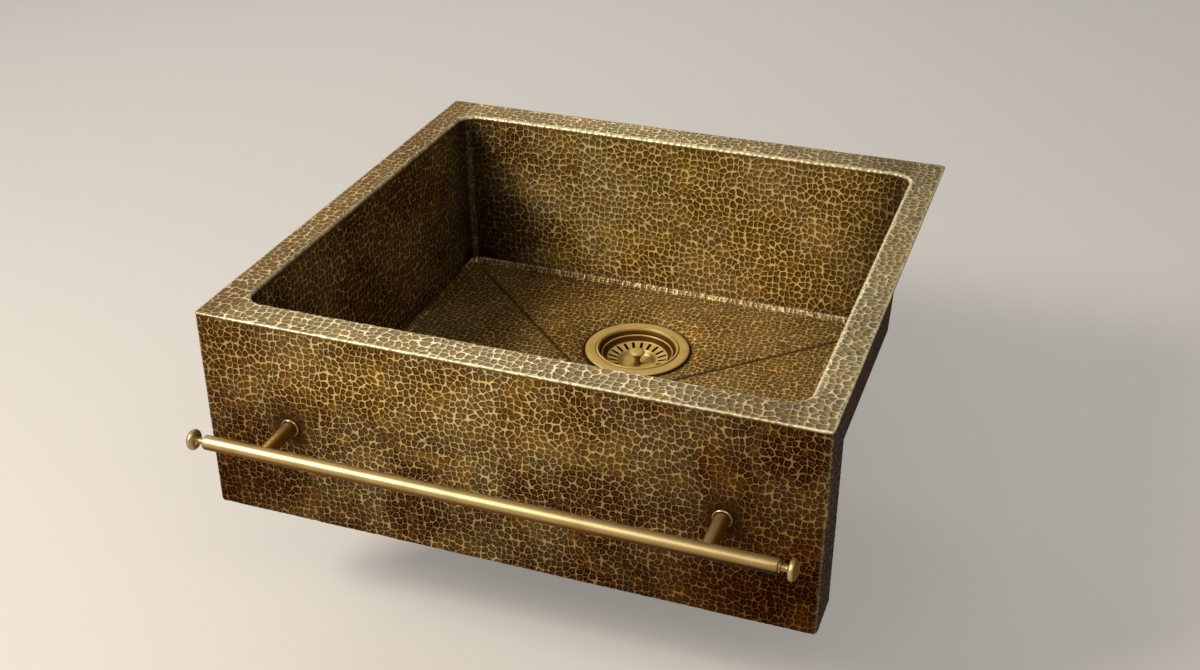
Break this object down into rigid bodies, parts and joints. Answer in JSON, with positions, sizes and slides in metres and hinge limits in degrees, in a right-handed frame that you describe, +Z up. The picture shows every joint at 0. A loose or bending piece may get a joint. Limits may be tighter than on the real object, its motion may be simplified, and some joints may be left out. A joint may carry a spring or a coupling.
{
  "type": "apron front kitchen sink",
  "caption": "Apron-front sink in hammered brass with a deep bowl, creased falls to a basket strainer with a lift-out basket, and a round towel rail on posts.",
  "frame": {"origin": "top of the rear deck, midway across it and midway from its front to its rear edge, on the face that the worktop lies on", "axes": "+X to the right as seen from the apron side, +Y from the apron towards the wall, +Z up"},
  "size_m": [0.595, 0.634, 0.3347],
  "materials": {
    "hammered_brass": "hammered and aged, with dark hollows and bright ridges",
    "satin_brass": "satin brushed, lightly aged",
    "mill_brass": "mill finish",
    "steel": "zinc plated",
    "rubber": "matt black",
    "fibre": "pressed fibre",
    "nylon": "natural white"
  },
  "bodies": {
    "sink": {"deck_rim": "hammered_brass", "bowl_walls": "hammered_brass", "bowl_floor": "hammered_brass", "apron_face": "hammered_brass", "apron_side_left": "hammered_brass", "apron_side_right": "hammered_brass", "apron_foot": "hammered_brass", "apron_bracket_left": "mill_brass", "apron_bracket_right": "mill_brass", "strainer_body": "satin_brass", "strainer_spigot": "satin_brass", "stem_guide": "satin_brass", "flange_seal": "rubber", "floor_gasket": "rubber", "friction_ring": "fibre", "locknut": "mill_brass", "tail_washer": "nylon", "tailpiece": "satin_brass", "coupling_nut": "satin_brass", "rail_bar": "satin_brass", "rail_post_left": "satin_brass", "post_collar_left": "satin_brass", "post_stud_left": "steel", "post_doubler_left": "mill_brass", "post_washer_left": "steel", "post_nut_left": "steel", "rail_finial_left": "satin_brass", "rail_post_right": "satin_brass", "post_collar_right": "satin_brass", "post_stud_right": "steel", "post_doubler_right": "mill_brass", "post_washer_right": "steel", "post_nut_right": "steel", "rail_finial_right": "satin_brass"},
    "stopper": {"rubber_stopper": "rubber", "stopper_backing_washer": "steel"},
    "basket": {"basket_cup": "satin_brass", "basket_stem": "satin_brass", "basket_knob": "satin_brass", "stopper_sleeve": "nylon", "stopper_nut": "steel", "stem_grip_ring": "rubber"}
  },
  "joints": [
    {"name": "basket_lift", "type": "slide", "parent": "sink", "child": "stopper", "axis": [0, 0, 1], "range_m": [0, 0.08]},
    {"name": "basket_turn", "type": "hinge", "parent": "stopper", "child": "basket", "pos_m": [0, -0.16, -0.21], "axis": [0, 0, 1], "continuous": true}
  ]
}
